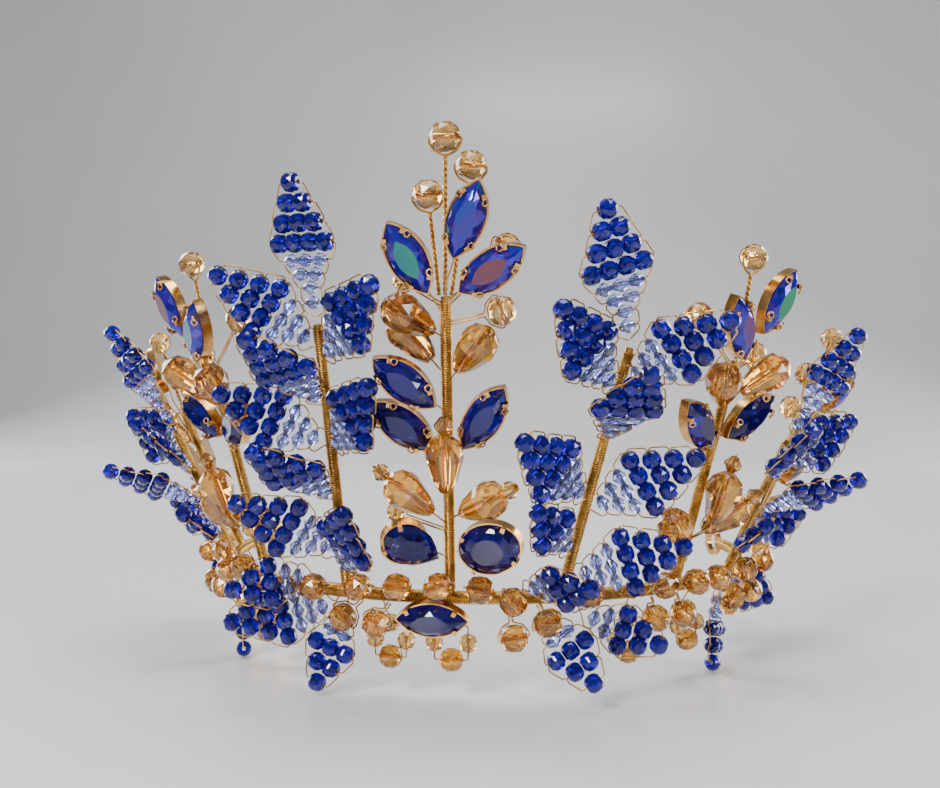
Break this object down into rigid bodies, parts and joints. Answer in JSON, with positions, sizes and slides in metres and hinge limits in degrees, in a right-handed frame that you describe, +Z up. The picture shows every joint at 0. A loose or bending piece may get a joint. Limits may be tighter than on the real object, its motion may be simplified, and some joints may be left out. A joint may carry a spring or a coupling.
{
  "type": "crown",
  "caption": "Open-backed wire crown with beaded leaf branches, faceted drops, pointed-oval stones in claw settings and small beads on trembling wires.",
  "frame": {"origin": "bottom centre of the bounding box, on the surface that the crown stands on", "axes": "+Z up, the front of the crown towards -Y and its open back towards +Y, +X towards the side that is on the right of the front view"},
  "size_m": [0.1976, 0.1193, 0.117],
  "materials": {
    "gold_wire": "fine drawn wire, satin gold",
    "gold_setting": "polished gold plate",
    "blue_glass": "faceted cobalt glass",
    "clear_glass": "faceted pale blue glass",
    "champagne_glass": "faceted champagne glass",
    "golden_glass": "faceted golden glass",
    "navy_glass": "faceted navy glass with a foiled back",
    "aurora_glass": "faceted navy glass with an iridescent coat"
  },
  "bodies": {
    "crown": {"band_core_wire": "gold_wire", "band_binding_wrap": "gold_wire", "left_end_eye": "gold_wire", "right_end_eye": "gold_wire", "centre_spire_stem": "gold_wire", "spire_stem_wraps": "gold_wire", "centre_spire_aurora_navettes": "aurora_glass", "centre_spire_settings": "gold_setting", "centre_spire_twig_wires": "gold_wire", "centre_spire_beads": "champagne_glass", "centre_spire_teardrops": "champagne_glass", "centre_spire_navy_navettes": "navy_glass", "centre_spire_crystals": "navy_glass", "left_inner_spire_stem": "gold_wire", "side_spire_aurora_navettes": "aurora_glass", "side_spire_settings": "gold_setting", "side_spire_twig_wires": "gold_wire", "side_spire_beads": "champagne_glass", "side_spire_teardrops": "champagne_glass", "side_spire_navy_navettes": "navy_glass", "right_inner_spire_stem": "gold_wire", "left_outer_spire_stem": "gold_wire", "right_outer_spire_stem": "gold_wire", "left_inner_branch_stem": "gold_wire", "branch_stem_wraps": "gold_wire", "left_inner_branch_blue_beads": "blue_glass", "left_inner_branch_clear_beads": "clear_glass", "left_inner_branch_leaf_wires": "gold_wire", "right_inner_branch_stem": "gold_wire", "right_inner_branch_blue_beads": "blue_glass", "right_inner_branch_clear_beads": "clear_glass", "right_inner_branch_leaf_wires": "gold_wire", "left_outer_branch_stem": "gold_wire", "left_outer_branch_blue_beads": "blue_glass", "left_outer_branch_clear_beads": "clear_glass", "left_outer_branch_leaf_wires": "gold_wire", "right_outer_branch_stem": "gold_wire", "right_outer_branch_blue_beads": "blue_glass", "right_outer_branch_clear_beads": "clear_glass", "right_outer_branch_leaf_wires": "gold_wire", "garland_berries": "champagne_glass", "garland_wires": "gold_wire", "garland_golden_drops": "golden_glass", "garland_ring_beads": "champagne_glass", "band_navette": "navy_glass", "band_navette_setting": "gold_setting"},
    "top_sprig": {"top_sprig_wire": "gold_wire"},
    "top_sprig_head": {"top_sprig_bead": "champagne_glass"},
    "right_sprig": {"right_sprig_wire": "gold_wire"},
    "right_sprig_head": {"right_sprig_bead": "champagne_glass"},
    "left_sprig": {"left_sprig_wire": "gold_wire"},
    "left_sprig_head": {"left_sprig_bead": "champagne_glass"},
    "left_inner_sprig": {"left_inner_sprig_wire": "gold_wire"},
    "left_inner_sprig_head": {"left_inner_sprig_bead": "champagne_glass"},
    "right_inner_sprig": {"right_inner_sprig_wire": "gold_wire"},
    "right_inner_sprig_head": {"right_inner_sprig_bead": "champagne_glass"},
    "left_outer_sprig": {"left_outer_sprig_wire": "gold_wire"},
    "left_outer_sprig_head": {"left_outer_sprig_bead": "champagne_glass"},
    "right_outer_sprig": {"right_outer_sprig_wire": "gold_wire"},
    "right_outer_sprig_head": {"right_outer_sprig_bead": "champagne_glass"}
  },
  "joints": [
    {"name": "top_sprig_sway", "type": "hinge", "parent": "crown", "child": "top_sprig", "pos_m": [-0.0006, -0.04825, 0.0852], "axis": [0.9994, 0.0084, -0.0339], "range_deg": [-5, 5], "stiffness_Nm_per_rad": 0.0025},
    {"name": "top_sprig_bead_spin", "type": "hinge", "parent": "top_sprig", "child": "top_sprig_head", "pos_m": [0.00045, -0.05651, 0.11402], "axis": [0.9994, 0.0084, -0.0339], "continuous": true},
    {"name": "right_sprig_sway", "type": "hinge", "parent": "crown", "child": "right_sprig", "pos_m": [0.0006, -0.04825, 0.0852], "axis": [0.9877, 0.0378, -0.1518], "range_deg": [-8, 3], "stiffness_Nm_per_rad": 0.0025},
    {"name": "right_sprig_bead_spin", "type": "hinge", "parent": "right_sprig", "child": "right_sprig_head", "pos_m": [0.00449, -0.04817, 0.1105], "axis": [0.9877, 0.0378, -0.1518], "continuous": true},
    {"name": "left_sprig_sway", "type": "hinge", "parent": "crown", "child": "left_sprig", "pos_m": [-0.0018, -0.04825, 0.0852], "axis": [0.9925, -0.0295, 0.1182], "range_deg": [-8, 4], "stiffness_Nm_per_rad": 0.0025},
    {"name": "left_sprig_bead_spin", "type": "hinge", "parent": "left_sprig", "child": "left_sprig_head", "pos_m": [-0.00414, -0.04751, 0.10505], "axis": [0.9925, -0.0295, 0.1182], "continuous": true},
    {"name": "left_inner_sprig_sway", "type": "hinge", "parent": "crown", "child": "left_inner_sprig", "pos_m": [-0.05774, -0.02229, 0.07333], "axis": [0.7126, -0.7007, 0.0337], "range_deg": [-8, 8], "stiffness_Nm_per_rad": 0.0025},
    {"name": "left_inner_sprig_bead_spin", "type": "hinge", "parent": "left_inner_sprig", "child": "left_inner_sprig_head", "pos_m": [-0.0612, -0.02478, 0.09491], "axis": [0.7126, -0.7007, 0.0337], "continuous": true},
    {"name": "right_inner_sprig_sway", "type": "hinge", "parent": "crown", "child": "right_inner_sprig", "pos_m": [0.05928, -0.02091, 0.07333], "axis": [0.7247, 0.6882, -0.0337], "range_deg": [-8, 8], "stiffness_Nm_per_rad": 0.0025},
    {"name": "right_inner_sprig_bead_spin", "type": "hinge", "parent": "right_inner_sprig", "child": "right_inner_sprig_head", "pos_m": [0.0627, -0.02345, 0.09491], "axis": [0.7247, 0.6882, -0.0337], "continuous": true},
    {"name": "left_outer_sprig_sway", "type": "hinge", "parent": "crown", "child": "left_outer_sprig", "pos_m": [-0.08541, 0.02886, 0.06236], "axis": [0.0587, -0.9962, 0.0637], "range_deg": [-8, 2.5], "stiffness_Nm_per_rad": 0.0025},
    {"name": "left_outer_sprig_bead_spin", "type": "hinge", "parent": "left_outer_sprig", "child": "left_outer_sprig_head", "pos_m": [-0.09198, 0.02962, 0.08017], "axis": [0.0587, -0.9962, 0.0637], "continuous": true},
    {"name": "right_outer_sprig_sway", "type": "hinge", "parent": "crown", "child": "right_outer_sprig", "pos_m": [0.08541, 0.02886, 0.06236], "axis": [0.0587, 0.9962, -0.0637], "range_deg": [-8, 2.5], "stiffness_Nm_per_rad": 0.0025},
    {"name": "right_outer_sprig_bead_spin", "type": "hinge", "parent": "right_outer_sprig", "child": "right_outer_sprig_head", "pos_m": [0.09198, 0.02962, 0.08017], "axis": [0.0587, 0.9962, -0.0637], "continuous": true}
  ]
}
